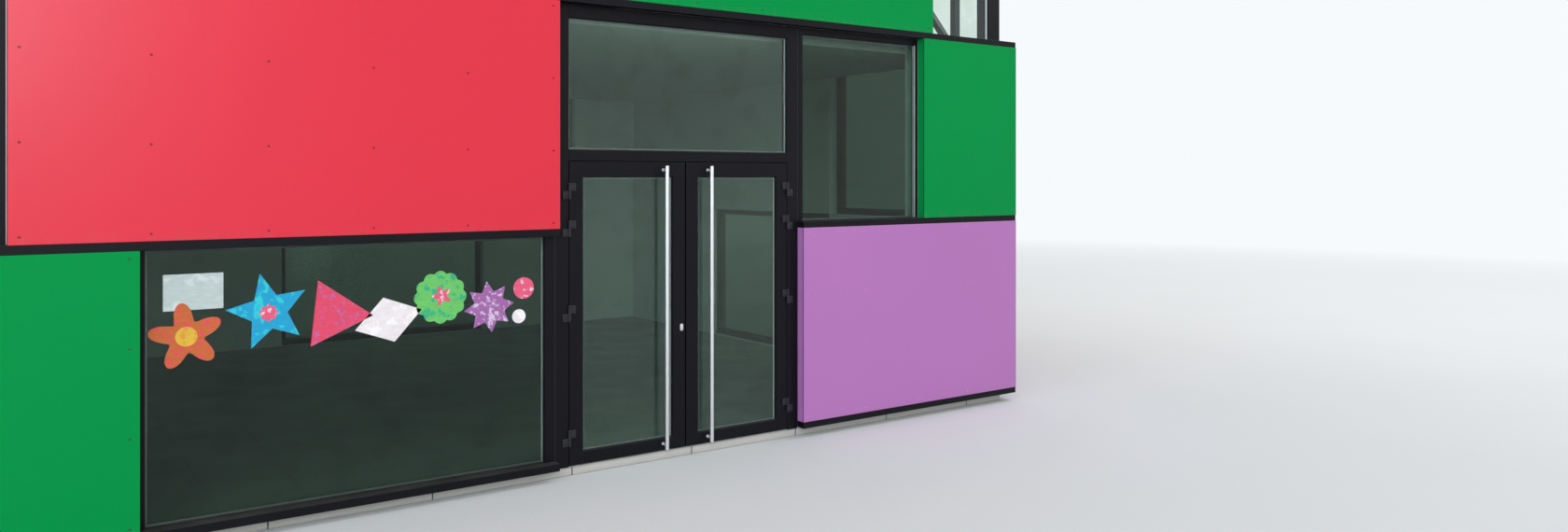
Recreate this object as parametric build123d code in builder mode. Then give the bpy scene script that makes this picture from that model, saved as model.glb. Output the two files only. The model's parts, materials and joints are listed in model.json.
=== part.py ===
from build123d import *
import math
import os

# School building of two storeys, clad in large coloured boards between slim black bands.
# Millimetres. +X runs along the entrance front to the right, +Y into the building, +Z up.
# The origin is under the middle of the building, at the foot of its concrete base.

# Heights
base_height = 75
row_pitch = 1880
row_count = 4
band_height = 60
flashing_lift = 10
floor_finish = 5
slab_thickness = 130
roof_covering_thickness = 8

# Widths along the walls
end_board = 1365
narrow_window = 1535
wide_window = 2880
long_board = 3565
door_bay = 2435
corner_window_front = 1243
side_depth = 8500

# Wall build-up, measured inwards from the face of the boards
wall_thickness = 300
reveal_depth = 100
board_thickness = 10
band_recess = 4
cap_projection = 15
base_inset = 120
cap_overhang = 10
panel_joint = 0.5
board_joint = 8
corner_joint = 2

# Window frames and glass
frame_bar = 60
frame_depth = 75
mullion_width = 70
largest_pane = 3000
slim_bar = 30
door_side_bar = 87
glass_thickness = 24
glass_gap = 0.3

# Glazed corner with its post, steel column and wind brace
corner_inset = 125
corner_post_width = 200
corner_post_depth = 160
column_width = 80
column_from_corner = 683
brace_width = 68
brace_thickness = 70
brace_angle = 51
brace_rise_at_column = 95

# Entrance
jamb_width = 118
door_frame_depth = 100
leaf_gap = 6
meeting_gap = 12
leaf_thickness = 70
leaf_bottom_gap = 6
threshold_height = 6
leaf_height = 2468
stile_width = 120
top_rail = 122
bottom_rail = 98
transom_bar = 86
head_bar = 108
stop_overlap = 14

# Pull handles, hinges and lock
handle_radius = 17.5
handle_above_leaf_bottom = 18
handle_below_leaf_top = 30
handle_from_meeting = 225
handle_standoff = 70
standoff_radius = 10
standoff_end_distance = 36
lowest_hinge_above_leaf_bottom = 224
hinges_below_leaf_top = (545, 240)
hinge_part_height = 64
hinge_plate_width = 58
hinge_plate_thickness = 10
hinge_axis_lead = 13
barrel_radius = 11
hinge_pin_radius = 5
hinge_pin_clearance = 0.05
hinge_washer_gap = 0.5
lock_height = 1050
lock_from_meeting = 42
lock_plate_width = 31
lock_plate_height = 62
lock_plate_thickness = 5
lock_radius = 8.5
lock_above_plate_middle = 10
lock_projection = 9

corner_board = end_board + narrow_window
front_width = 2 * corner_board + long_board + door_bay
bay_left = corner_board + long_board
bay_right = bay_left + door_bay
front_y = -side_depth / 2
left_x = -front_width / 2
roof_level = base_height + row_count * row_pitch
storey_level = base_height + 2 * row_pitch

# Each wall is drawn on its own face: x along the wall from its left corner as seen from outside,
# y up, and depth measured inwards from the face of the boards.
front_face = Plane(origin=(left_x, front_y, 0), x_dir=(1, 0, 0), z_dir=(0, -1, 0))
right_face = Plane(origin=(-left_x, front_y, 0), x_dir=(0, 1, 0), z_dir=(1, 0, 0))
back_face = Plane(origin=(-left_x, -front_y, 0), x_dir=(-1, 0, 0), z_dir=(0, 1, 0))
left_face = Plane(origin=(left_x, -front_y, 0), x_dir=(0, -1, 0), z_dir=(-1, 0, 0))

# The cells of each wall, row by row from the ground, as (finish, width).
# A width of None takes what the other cells of its row leave.
front_rows = [
    [("green", None), ("window", wide_window), ("door", door_bay), ("purple", corner_board)],
    [("purple", end_board), ("window", narrow_window), ("red", long_board), ("door", door_bay),
     ("window", narrow_window), ("green", end_board)],
    [("purple", corner_board), ("window", None), ("green", long_board), ("corner", corner_window_front)],
    [("green", long_board), ("window", corner_board), ("red", None), ("purple", end_board)],
]
right_rows = [
    [("purple", corner_board), ("window", wide_window), ("green", None)],
    [("green", end_board), ("window", narrow_window), ("red", long_board), ("purple", None)],
    [("corner", narrow_window), ("purple", corner_board), ("window", narrow_window), ("green", None)],
    [("red", long_board), ("window", wide_window), ("green", None)],
]
back_rows = [
    [("green", corner_board), ("window", wide_window), ("red", None), ("purple", corner_board)],
    [("purple", end_board), ("window", narrow_window), ("red", long_board), ("green", None),
     ("window", narrow_window), ("purple", end_board)],
    [("green", corner_board), ("window", wide_window), ("purple", None), ("window", narrow_window),
     ("red", end_board)],
    [("red", long_board), ("window", wide_window), ("green", None), ("purple", corner_board)],
]
left_rows = [
    [("red", corner_board), ("window", wide_window), ("green", None)],
    [("green", None), ("red", long_board), ("window", narrow_window), ("purple", end_board)],
    [("red", None), ("window", narrow_window), ("green", corner_board), ("purple", narrow_window)],
    [("purple", None), ("window", wide_window), ("green", long_board)],
]


def wall_cells(rows, length):
    """List the cells of a wall as (row, finish, left, right, open on the left, open on the right)."""
    openings = ("window", "door", "corner")
    cells = []
    for row, row_cells in enumerate(rows):
        rest = length - sum(width for _, width in row_cells if width is not None)
        left = 0
        for number, (finish, width) in enumerate(row_cells):
            right = left + (rest if width is None else width)
            opens_left = number > 0 and row_cells[number - 1][0] in openings
            opens_right = number + 1 < len(row_cells) and row_cells[number + 1][0] in openings
            cells.append((row, finish, left, right, opens_left, opens_right))
            left = right
    return cells


front_cells = wall_cells(front_rows, front_width)
right_cells = wall_cells(right_rows, side_depth)
back_cells = wall_cells(back_rows, front_width)
left_cells = wall_cells(left_rows, side_depth)


def band_low(level):
    """Underside of the band at a level, where level 0 is the base flashing."""
    return base_height + flashing_lift if level == 0 else base_height + level * row_pitch


def body_low(row, raised):
    """Underside of a wall panel. Left of the entrance the first joint is level with the band's top."""
    return base_height + row * row_pitch + (band_height if raised and row == 1 else 0)


def body_high(row, raised):
    """Top of a wall panel, which is the underside of the one above."""
    return body_low(row + 1, raised)


def board_low(row):
    """Lower edge of the boards of a row, on top of the band below."""
    return band_low(row) + band_height


def board_high(row):
    """Upper edge of the boards of a row, under the band above."""
    return band_low(row + 1)


def slab(face, left, right, low, high, near, far):
    """Add a straight block on a wall's face, from one depth to another."""
    with BuildSketch(face.offset(-near)) as outline:
        with Locations((left, low)):
            Rectangle(right - left, high - low, align=(Align.MIN, Align.MIN))
    extrude(outline.sketch, amount=near - far)


def is_raised(face, right):
    """Whether a cell stands left of the entrance on the front."""
    return face is front_face and right <= bay_left


def wall_panel(face, length, ends_wall, cell):
    """Add one wall panel: a full-height body and a thicker part between the bands."""
    row, _, left, right, opens_left, opens_right = cell
    raised = is_raised(face, right)
    end_inset = reveal_depth if ends_wall else wall_thickness + panel_joint
    face_inset = board_thickness if ends_wall else end_inset
    body_left = end_inset if left == 0 else left + (0 if opens_left else panel_joint / 2)
    body_right = length - end_inset if right == length else right - (0 if opens_right else panel_joint / 2)
    skin_left = face_inset if left == 0 else body_left + (board_thickness if opens_left else 0)
    skin_right = length - face_inset if right == length else body_right - (board_thickness if opens_right else 0)
    low = body_low(row, raised)
    high = body_high(row, raised) - panel_joint
    slab(face, body_left, body_right, low, high, reveal_depth, wall_thickness)
    slab(face, skin_left, skin_right, board_low(row), board_high(row) - panel_joint,
         board_thickness, wall_thickness)


def board(face, length, ends_wall, cell):
    """Add one facing board, with a return strip at each edge beside an opening."""
    row, _, left, right, opens_left, opens_right = cell
    corner = 0 if ends_wall else board_thickness + corner_joint
    edge_left = corner if left == 0 else left + (0 if opens_left else board_joint / 2)
    edge_right = length - corner if right == length else right - (0 if opens_right else board_joint / 2)
    low = board_low(row)
    high = board_high(row)
    slab(face, edge_left, edge_right, low, high, 0, board_thickness)
    if opens_left:
        slab(face, edge_left, edge_left + board_thickness, low, high, 0, reveal_depth)
    if opens_right:
        slab(face, edge_right - board_thickness, edge_right, low, high, 0, reveal_depth)


def window_span(cell, face):
    """Give a window's outer edges, its bar widths at the sides and its heights."""
    row, finish, left, right, _, _ = cell
    raised = is_raised(face, right)
    left_bar = frame_bar
    right_bar = frame_bar
    if finish == "corner" and face is front_face:
        right = right - corner_inset - corner_post_width
        right_bar = 0
    if finish == "corner" and face is right_face:
        left = left + corner_inset + corner_post_depth
        left_bar = 0
    if face is front_face and row == 0 and right == bay_left:
        left_bar = slim_bar
        right_bar = door_side_bar
    if face is front_face and row == 1 and left == bay_right:
        right_bar = slim_bar
    return left, right, left_bar, right_bar, body_low(row, raised), body_high(row, raised) - panel_joint


def window_panes(cell, face):
    """List the panes of a window as (left, right, low, high)."""
    left, right, left_bar, right_bar, _, high = window_span(cell, face)
    count = math.ceil((right - left) / largest_pane)
    clear = right - left - left_bar - right_bar - (count - 1) * mullion_width
    pane = clear / count
    low = board_low(cell[0])
    top = high - frame_bar
    starts = [left + left_bar + number * (pane + mullion_width) for number in range(count)]
    return [(start, start + pane, low, top) for start in starts]


def window_frame(face, cell):
    """Add one fixed window frame."""
    left, right, _, _, low, high = window_span(cell, face)
    with BuildSketch(face.offset(-reveal_depth)) as outline:
        with Locations((left, low)):
            Rectangle(right - left, high - low, align=(Align.MIN, Align.MIN))
        for pane_left, pane_right, pane_low, pane_high in window_panes(cell, face):
            with Locations((pane_left, pane_low)):
                Rectangle(pane_right - pane_left, pane_high - pane_low, align=(Align.MIN, Align.MIN),
                          mode=Mode.SUBTRACT)
    extrude(outline.sketch, amount=-frame_depth)


def window_glass(face, cell):
    """Add the glass of one window, held in the middle of its frame."""
    near = reveal_depth + (frame_depth - glass_thickness) / 2
    for left, right, low, high in window_panes(cell, face):
        slab(face, left + glass_gap, right - glass_gap, low + glass_gap, high - glass_gap,
             near, near + glass_thickness)


def save(sub_part, name):
    """Label a finished sub-part and write it."""
    sub_part.part.label = name
    export_step(sub_part.part, f"parts/{name}.step")


os.makedirs("parts", exist_ok=True)

# Base, floors and roof
with BuildPart() as concrete_base:
    with BuildSketch():
        Rectangle(front_width - 2 * base_inset, side_depth - 2 * base_inset)
    extrude(amount=base_height)
save(concrete_base, "concrete_base")

room_width = front_width - 2 * wall_thickness
room_depth = side_depth - 2 * wall_thickness
with BuildPart() as hall_floor:
    with BuildSketch(Plane.XY.offset(base_height)):
        Rectangle(room_width, room_depth)
    extrude(amount=floor_finish)
save(hall_floor, "hall_floor")

with BuildPart() as upper_floor:
    with BuildSketch(Plane.XY.offset(storey_level)):
        Rectangle(room_width, room_depth)
    extrude(amount=-slab_thickness)
save(upper_floor, "upper_floor")

with BuildPart() as roof_deck:
    with BuildSketch(Plane.XY.offset(roof_level)):
        Rectangle(room_width, room_depth)
    extrude(amount=-slab_thickness)
save(roof_deck, "roof_deck")

cap_depth = wall_thickness + cap_overhang
with BuildPart() as roof_covering:
    with BuildSketch(Plane.XY.offset(roof_level)):
        Rectangle(front_width - 2 * cap_depth, side_depth - 2 * cap_depth)
    extrude(amount=roof_covering_thickness)
save(roof_covering, "roof_covering")

# Wall panels
boards = ("red", "green", "purple")
front_panels = [cell for cell in front_cells if cell[1] in boards]
lower_panels = [cell for cell in front_panels if cell[0] < 2]
with BuildPart() as front_wall_left:
    for cell in lower_panels:
        if cell[3] <= bay_left:
            wall_panel(front_face, front_width, True, cell)
save(front_wall_left, "front_wall_left")

with BuildPart() as front_wall_right:
    for cell in lower_panels:
        if cell[2] >= bay_right:
            wall_panel(front_face, front_width, True, cell)
save(front_wall_right, "front_wall_right")

with BuildPart() as front_wall_upper:
    for cell in front_panels:
        if cell[0] >= 2:
            wall_panel(front_face, front_width, True, cell)
save(front_wall_upper, "front_wall_upper")

with BuildPart() as right_wall:
    for cell in right_cells:
        if cell[1] in boards:
            wall_panel(right_face, side_depth, False, cell)
save(right_wall, "right_wall")

with BuildPart() as back_wall:
    for cell in back_cells:
        if cell[1] in boards:
            wall_panel(back_face, front_width, True, cell)
save(back_wall, "back_wall")

with BuildPart() as left_wall:
    for cell in left_cells:
        if cell[1] in boards:
            wall_panel(left_face, side_depth, False, cell)
save(left_wall, "left_wall")

# Facing boards, one sub-part for each colour on the front and one on the other three sides
for colour in boards:
    with BuildPart() as front_boards:
        for cell in front_cells:
            if cell[1] == colour:
                board(front_face, front_width, True, cell)
    save(front_boards, f"front_{colour}_boards")

    with BuildPart() as side_boards:
        for cell in right_cells:
            if cell[1] == colour:
                board(right_face, side_depth, False, cell)
        for cell in back_cells:
            if cell[1] == colour:
                board(back_face, front_width, True, cell)
        for cell in left_cells:
            if cell[1] == colour:
                board(left_face, side_depth, False, cell)
    save(side_boards, f"side_{colour}_boards")

# Black bands between the rows of boards. The two lowest stop at the entrance.
band_names = ("base_flashing", "lower_band", "storey_band", "upper_band")
band_end = reveal_depth + panel_joint
for level, band_name in enumerate(band_names):
    low = band_low(level)
    high = low + band_height
    with BuildPart() as band:
        if level < 2:
            slab(front_face, band_recess, bay_left, low, high, band_recess, reveal_depth)
            slab(front_face, bay_right, front_width - band_recess, low, high, band_recess, reveal_depth)
        else:
            slab(front_face, band_recess, front_width - band_recess, low, high, band_recess, reveal_depth)
        slab(back_face, band_recess, front_width - band_recess, low, high, band_recess, reveal_depth)
        for face in (right_face, left_face):
            slab(face, band_end, side_depth - band_end, low, high, band_recess, reveal_depth)
    save(band, band_name)

cap_end = cap_depth + panel_joint
with BuildPart() as roof_edge_cap:
    for face in (front_face, back_face):
        slab(face, -cap_projection, front_width + cap_projection, roof_level, roof_level + band_height,
             -cap_projection, cap_depth)
    for face in (right_face, left_face):
        slab(face, cap_end, side_depth - cap_end, roof_level, roof_level + band_height,
             -cap_projection, cap_depth)
save(roof_edge_cap, "roof_edge_cap")

# Windows
front_windows = [cell for cell in front_cells if cell[1] == "window"]
with BuildPart() as front_window_frames:
    for cell in front_windows:
        window_frame(front_face, cell)
save(front_window_frames, "front_window_frames")

with BuildPart() as front_window_glass:
    for cell in front_windows:
        window_glass(front_face, cell)
save(front_window_glass, "front_window_glass")

side_walls = ((right_face, right_cells), (back_face, back_cells), (left_face, left_cells))
with BuildPart() as side_window_frames:
    for face, cells in side_walls:
        for cell in cells:
            if cell[1] == "window":
                window_frame(face, cell)
save(side_window_frames, "side_window_frames")

with BuildPart() as side_window_glass:
    for face, cells in side_walls:
        for cell in cells:
            if cell[1] == "window":
                window_glass(face, cell)
save(side_window_glass, "side_window_glass")

# Glazed corner of the upper storey
corner_cells = ((front_face, front_cells), (right_face, right_cells))
with BuildPart() as corner_window_frame:
    for face, cells in corner_cells:
        for cell in cells:
            if cell[1] == "corner":
                window_frame(face, cell)
save(corner_window_frame, "corner_window_frame")

with BuildPart() as corner_window_glass:
    for face, cells in corner_cells:
        for cell in cells:
            if cell[1] == "corner":
                window_glass(face, cell)
save(corner_window_glass, "corner_window_glass")

corner_foot = body_low(2, False)
corner_head = body_low(3, False)
post_right = front_width - corner_inset
with BuildPart() as corner_post:
    slab(front_face, post_right - corner_post_width, post_right, corner_foot, corner_head,
         corner_inset, corner_inset + corner_post_depth)
save(corner_post, "corner_post")

column_near = reveal_depth + frame_depth
column_back = column_from_corner + column_width
with BuildPart() as steel_column:
    slab(right_face, column_from_corner, column_back, corner_foot, corner_head,
         column_near, column_near + column_width)
save(steel_column, "steel_column")

brace_near = column_near + (column_width - brace_thickness) / 2
brace_slope = math.tan(math.radians(brace_angle))
brace_height = brace_width / math.cos(math.radians(brace_angle))
brace_run = narrow_window - column_back
brace_top = corner_foot + brace_rise_at_column
brace_heel = (brace_height - brace_rise_at_column) / brace_slope
with BuildPart() as wind_brace:
    with BuildSketch(right_face.offset(-brace_near)):
        with BuildLine():
            Polyline(
                (column_back, corner_foot),
                (column_back + brace_heel, corner_foot),
                (narrow_window, brace_top - brace_height + brace_run * brace_slope),
                (narrow_window, brace_top + brace_run * brace_slope),
                (column_back, brace_top),
                close=True,
            )
        make_face()
    extrude(amount=-brace_thickness)
save(wind_brace, "wind_brace")

# Entrance: a fixed frame of two jambs, a transom bar and a head, with a light over the doors
door_near = reveal_depth
frame_far = door_near + door_frame_depth
leaf_bottom = base_height + threshold_height + leaf_bottom_gap
leaf_top = leaf_bottom + leaf_height
transom_low = leaf_top + leaf_gap
transom_high = transom_low + transom_bar
clear_left = bay_left + jamb_width
clear_right = bay_right - jamb_width
light_high = storey_level - head_bar
with BuildPart() as door_frame:
    slab(front_face, bay_left, clear_left, base_height, storey_level, door_near, frame_far)
    slab(front_face, clear_right, bay_right, base_height, storey_level, door_near, frame_far)
    slab(front_face, clear_left + glass_gap, clear_right - glass_gap, transom_low, transom_high,
         door_near, frame_far)
    slab(front_face, clear_left + glass_gap, clear_right - glass_gap, light_high, storey_level,
         door_near, frame_far)
save(door_frame, "door_frame")

light_near = door_near + (frame_depth - glass_thickness) / 2
with BuildPart() as transom_glass:
    slab(front_face, clear_left + glass_gap, clear_right - glass_gap, transom_high + glass_gap,
         light_high - glass_gap, light_near, light_near + glass_thickness)
save(transom_glass, "transom_glass")

stop_near = door_near + leaf_thickness + leaf_gap
stop_low = base_height + threshold_height + panel_joint
with BuildPart() as door_stops:
    slab(front_face, clear_left, clear_left + stop_overlap, stop_low, transom_low, stop_near, frame_far)
    slab(front_face, clear_right - stop_overlap, clear_right, stop_low, transom_low, stop_near, frame_far)
    slab(front_face, clear_left + stop_overlap + panel_joint, clear_right - stop_overlap - panel_joint,
         transom_low - stop_overlap, transom_low, stop_near, frame_far)
save(door_stops, "door_stops")

with BuildPart() as threshold:
    slab(front_face, clear_left, clear_right, base_height, base_height + threshold_height,
         door_near, wall_thickness)
save(threshold, "threshold")

# Left door leaf with its glass, handle, hinge parts and lock. The right leaf mirrors it.
bay_middle_x = left_x + (bay_left + bay_right) / 2
bay_middle = Plane.YZ.offset(bay_middle_x)
leaf_left = clear_left + leaf_gap
leaf_right = (bay_left + bay_right - meeting_gap) / 2
pane_left = leaf_left + stile_width
pane_right = leaf_right - stile_width
pane_low = leaf_bottom + bottom_rail
pane_high = leaf_top - top_rail
with BuildPart() as left_door_leaf:
    with BuildSketch(front_face.offset(-door_near)):
        with Locations((leaf_left, leaf_bottom)):
            Rectangle(leaf_right - leaf_left, leaf_height, align=(Align.MIN, Align.MIN))
        with Locations((pane_left, pane_low)):
            Rectangle(pane_right - pane_left, pane_high - pane_low, align=(Align.MIN, Align.MIN),
                      mode=Mode.SUBTRACT)
    extrude(amount=-leaf_thickness)
save(left_door_leaf, "left_door_leaf")

leaf_glass_near = door_near + (leaf_thickness - glass_thickness) / 2
with BuildPart() as left_door_glass:
    slab(front_face, pane_left + glass_gap, pane_right - glass_gap, pane_low + glass_gap,
         pane_high - glass_gap, leaf_glass_near, leaf_glass_near + glass_thickness)
save(left_door_glass, "left_door_glass")

door_face_y = front_y + door_near
handle_x = bay_middle_x - handle_from_meeting
handle_y = door_face_y - handle_standoff
handle_low = leaf_bottom + handle_above_leaf_bottom
handle_high = leaf_top - handle_below_leaf_top
with BuildPart() as left_pull_handle:
    with BuildSketch(Plane.XY.offset(handle_low)):
        with Locations((handle_x, handle_y)):
            Circle(handle_radius)
    extrude(amount=handle_high - handle_low)
    with BuildSketch(Plane.XZ.offset(-door_face_y)):
        with Locations((handle_x, handle_low + standoff_end_distance),
                       (handle_x, handle_high - standoff_end_distance)):
            Circle(standoff_radius)
    extrude(amount=handle_standoff)
save(left_pull_handle, "left_pull_handle")

hinge_x = left_x + clear_left + leaf_gap / 2
hinge_y = door_face_y - hinge_axis_lead
plate_y = door_face_y - hinge_plate_thickness
hinge_middles = [leaf_bottom + lowest_hinge_above_leaf_bottom, leaf_bottom + leaf_height / 2]
hinge_middles += [leaf_top - distance for distance in hinges_below_leaf_top]
hinge_levels = [middle - hinge_part_height for middle in hinge_middles]
with BuildPart() as left_frame_hinges:
    for level in hinge_levels:
        with BuildSketch(Plane.XY.offset(level)):
            with Locations((hinge_x, hinge_y)):
                Circle(barrel_radius)
            with Locations((hinge_x - hinge_plate_width, plate_y)):
                Rectangle(hinge_plate_width, hinge_plate_thickness, align=(Align.MIN, Align.MIN))
        extrude(amount=hinge_part_height)
        with BuildSketch(Plane.XY.offset(level + hinge_part_height)):
            with Locations((hinge_x, hinge_y)):
                Circle(hinge_pin_radius)
        extrude(amount=hinge_part_height)
save(left_frame_hinges, "left_frame_hinges")

with BuildPart() as left_leaf_hinges:
    for level in hinge_levels:
        with BuildSketch(Plane.XY.offset(level + hinge_part_height + hinge_washer_gap)):
            with Locations((hinge_x, hinge_y)):
                Circle(barrel_radius)
            with Locations((hinge_x, plate_y)):
                Rectangle(hinge_plate_width, hinge_plate_thickness, align=(Align.MIN, Align.MIN))
            with Locations((hinge_x, hinge_y)):
                Circle(hinge_pin_radius + hinge_pin_clearance, mode=Mode.SUBTRACT)
        extrude(amount=hinge_part_height - hinge_washer_gap)
save(left_leaf_hinges, "left_leaf_hinges")

lock_x = bay_middle_x - lock_from_meeting
with BuildPart() as lock_cylinder:
    with BuildSketch(Plane.XZ.offset(-door_face_y)):
        with Locations((lock_x, base_height + lock_height)):
            SlotOverall(lock_plate_height, lock_plate_width, rotation=90)
    extrude(amount=lock_plate_thickness)
    with BuildSketch(Plane.XZ.offset(lock_plate_thickness - door_face_y)):
        with Locations((lock_x, base_height + lock_height + lock_above_plate_middle)):
            Circle(lock_radius)
    extrude(amount=lock_projection - lock_plate_thickness)
save(lock_cylinder, "lock_cylinder")

mirrored_pieces = {
    "right_door_leaf": left_door_leaf,
    "right_door_glass": left_door_glass,
    "right_pull_handle": left_pull_handle,
    "right_frame_hinges": left_frame_hinges,
    "right_leaf_hinges": left_leaf_hinges,
}
for name, left_piece in mirrored_pieces.items():
    with BuildPart() as right_piece:
        mirror(left_piece.part, about=bay_middle)
    save(right_piece, name)
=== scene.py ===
import json
import math

import bmesh
import bpy
from mathutils import Matrix, Vector

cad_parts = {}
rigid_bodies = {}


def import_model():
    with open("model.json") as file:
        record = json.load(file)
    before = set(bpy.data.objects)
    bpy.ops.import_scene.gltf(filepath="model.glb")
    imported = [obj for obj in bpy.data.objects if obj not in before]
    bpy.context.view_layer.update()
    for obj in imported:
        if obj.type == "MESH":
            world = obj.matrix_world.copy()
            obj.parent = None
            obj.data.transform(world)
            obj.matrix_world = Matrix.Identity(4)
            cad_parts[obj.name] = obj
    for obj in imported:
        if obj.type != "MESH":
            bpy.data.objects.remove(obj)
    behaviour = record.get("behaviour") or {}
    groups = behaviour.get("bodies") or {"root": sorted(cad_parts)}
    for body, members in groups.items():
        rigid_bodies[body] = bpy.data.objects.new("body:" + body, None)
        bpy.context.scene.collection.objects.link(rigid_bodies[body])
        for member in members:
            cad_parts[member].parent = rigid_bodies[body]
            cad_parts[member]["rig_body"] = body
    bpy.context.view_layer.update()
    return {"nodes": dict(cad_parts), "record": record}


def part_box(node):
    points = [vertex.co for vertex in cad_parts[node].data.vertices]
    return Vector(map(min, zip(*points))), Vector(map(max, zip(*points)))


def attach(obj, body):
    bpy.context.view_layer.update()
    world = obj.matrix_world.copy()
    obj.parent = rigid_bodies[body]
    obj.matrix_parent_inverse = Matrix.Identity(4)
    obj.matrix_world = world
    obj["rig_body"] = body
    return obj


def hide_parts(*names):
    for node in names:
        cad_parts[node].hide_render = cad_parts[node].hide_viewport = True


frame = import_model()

nodes = frame["nodes"]
scene = bpy.context.scene

# Lengths are metres. The building stands on the floor at z = 0, its entrance front faces -Y.
ROW_PITCH = 1.88
BASE_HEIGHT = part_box("concrete_base")[1].z
FRONT_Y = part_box("front_red_boards")[0].y
CORNER_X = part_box("front_green_boards")[1].x

# Each wall's own axes: x along it from its left corner as seen from outside, y inwards, z up.
WALLS = {
    name: Matrix(((cosine, -sine, 0, x), (sine, cosine, 0, y), (0, 0, 1, 0), (0, 0, 0, 1)))
    for name, cosine, sine, x, y in (
        ("front", 1, 0, -CORNER_X, FRONT_Y), ("right", 0, 1, CORNER_X, FRONT_Y),
        ("back", -1, 0, CORNER_X, -FRONT_Y), ("left", 0, -1, -CORNER_X, -FRONT_Y))
}
WALL_DEPTH = 0.32


# Camera, lamps and world

CAMERA_TURN = math.radians(36.14)

camera_data = bpy.data.cameras.new("camera")
camera_data.lens = 24.64
camera_data.sensor_width = 36
camera_data.shift_y = -0.0565
camera = bpy.data.objects.new("camera", camera_data)
camera.location = (-3.035, FRONT_Y - 7.949, 2.425)
camera.rotation_euler = (math.pi / 2, 0, -CAMERA_TURN)
scene.collection.objects.link(camera)
scene.camera = camera
scene.view_settings.view_transform = "Standard"


def soft_lamp(name, place, target, size, power, colour):
    """Add a large square lamp that points at a place."""
    data = bpy.data.lights.new(name, "AREA")
    data.shape = "SQUARE"
    data.size = size
    data.energy = power
    data.color = colour
    lamp = bpy.data.objects.new(name, data)
    lamp.location = place
    aim = Vector(target) - Vector(place)
    lamp.rotation_euler = aim.to_track_quat("-Z", "Y").to_euler()
    scene.collection.objects.link(lamp)


soft_lamp("sky_left", (-12, -21, 12), (0, -2, 3), 12, 1650, (1.0, 0.985, 0.98))
soft_lamp("sky_front", (-6, -25, 8), (-1, -4, 3), 8, 1200, (0.82, 0.9, 1.0))
soft_lamp("sky_side", (-50, -12, 14), (0, -4, 3), 24, 7000, (0.45, 0.68, 1.0))
soft_lamp("sky_right", (22, -8, 18), (2, 0, 3), 16, 2400, (0.95, 0.98, 1.0))
soft_lamp("sky_back", (-4, 24, 18), (0, 3, 3), 16, 2800, (0.97, 0.99, 1.0))

AMBIENT = (0.93, 0.965, 1.0, 1)
AMBIENT_STRENGTH = 0.62
BACKDROP = (0.93, 0.955, 0.975, 1)
BACKDROP_STRENGTH = 1.0


def build_world():
    """Light everything evenly, and show a pale backdrop to the camera, in mirrors and through glass."""
    world = bpy.data.worlds.new("pale_sky")
    world.use_nodes = True
    tree = world.node_tree
    tree.nodes.clear()
    make = tree.nodes.new
    link = tree.links.new
    path = make("ShaderNodeLightPath")
    seen = path.outputs["Is Camera Ray"]
    for ray in ("Is Glossy Ray", "Is Transmission Ray"):
        either = make("ShaderNodeMath")
        either.operation = "MAXIMUM"
        link(seen, either.inputs[0])
        link(path.outputs[ray], either.inputs[1])
        seen = either.outputs[0]
    mixed = make("ShaderNodeMixShader")
    link(seen, mixed.inputs[0])
    for slot, colour, strength in ((1, AMBIENT, AMBIENT_STRENGTH), (2, BACKDROP, BACKDROP_STRENGTH)):
        background = make("ShaderNodeBackground")
        background.inputs["Color"].default_value = colour
        background.inputs["Strength"].default_value = strength
        link(background.outputs[0], mixed.inputs[slot])
    output = make("ShaderNodeOutputWorld")
    link(mixed.outputs[0], output.inputs["Surface"])
    scene.world = world


build_world()


# Finishes

class Value:
    """A number made by shader nodes, which takes the usual arithmetic."""

    def __init__(self, finish, socket):
        self.finish = finish
        self.socket = socket

    def __add__(self, other):
        return self.finish.math("ADD", self, other)

    __radd__ = __add__

    def __sub__(self, other):
        return self.finish.math("SUBTRACT", self, other)

    def __rsub__(self, other):
        return self.finish.math("SUBTRACT", other, self)

    def __mul__(self, other):
        return self.finish.math("MULTIPLY", self, other)

    __rmul__ = __mul__

    def __truediv__(self, other):
        return self.finish.math("DIVIDE", self, other)

    def __gt__(self, other):
        return self.finish.math("GREATER_THAN", self, other)

    def __abs__(self):
        return self.finish.math("ABSOLUTE", self)


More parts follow.
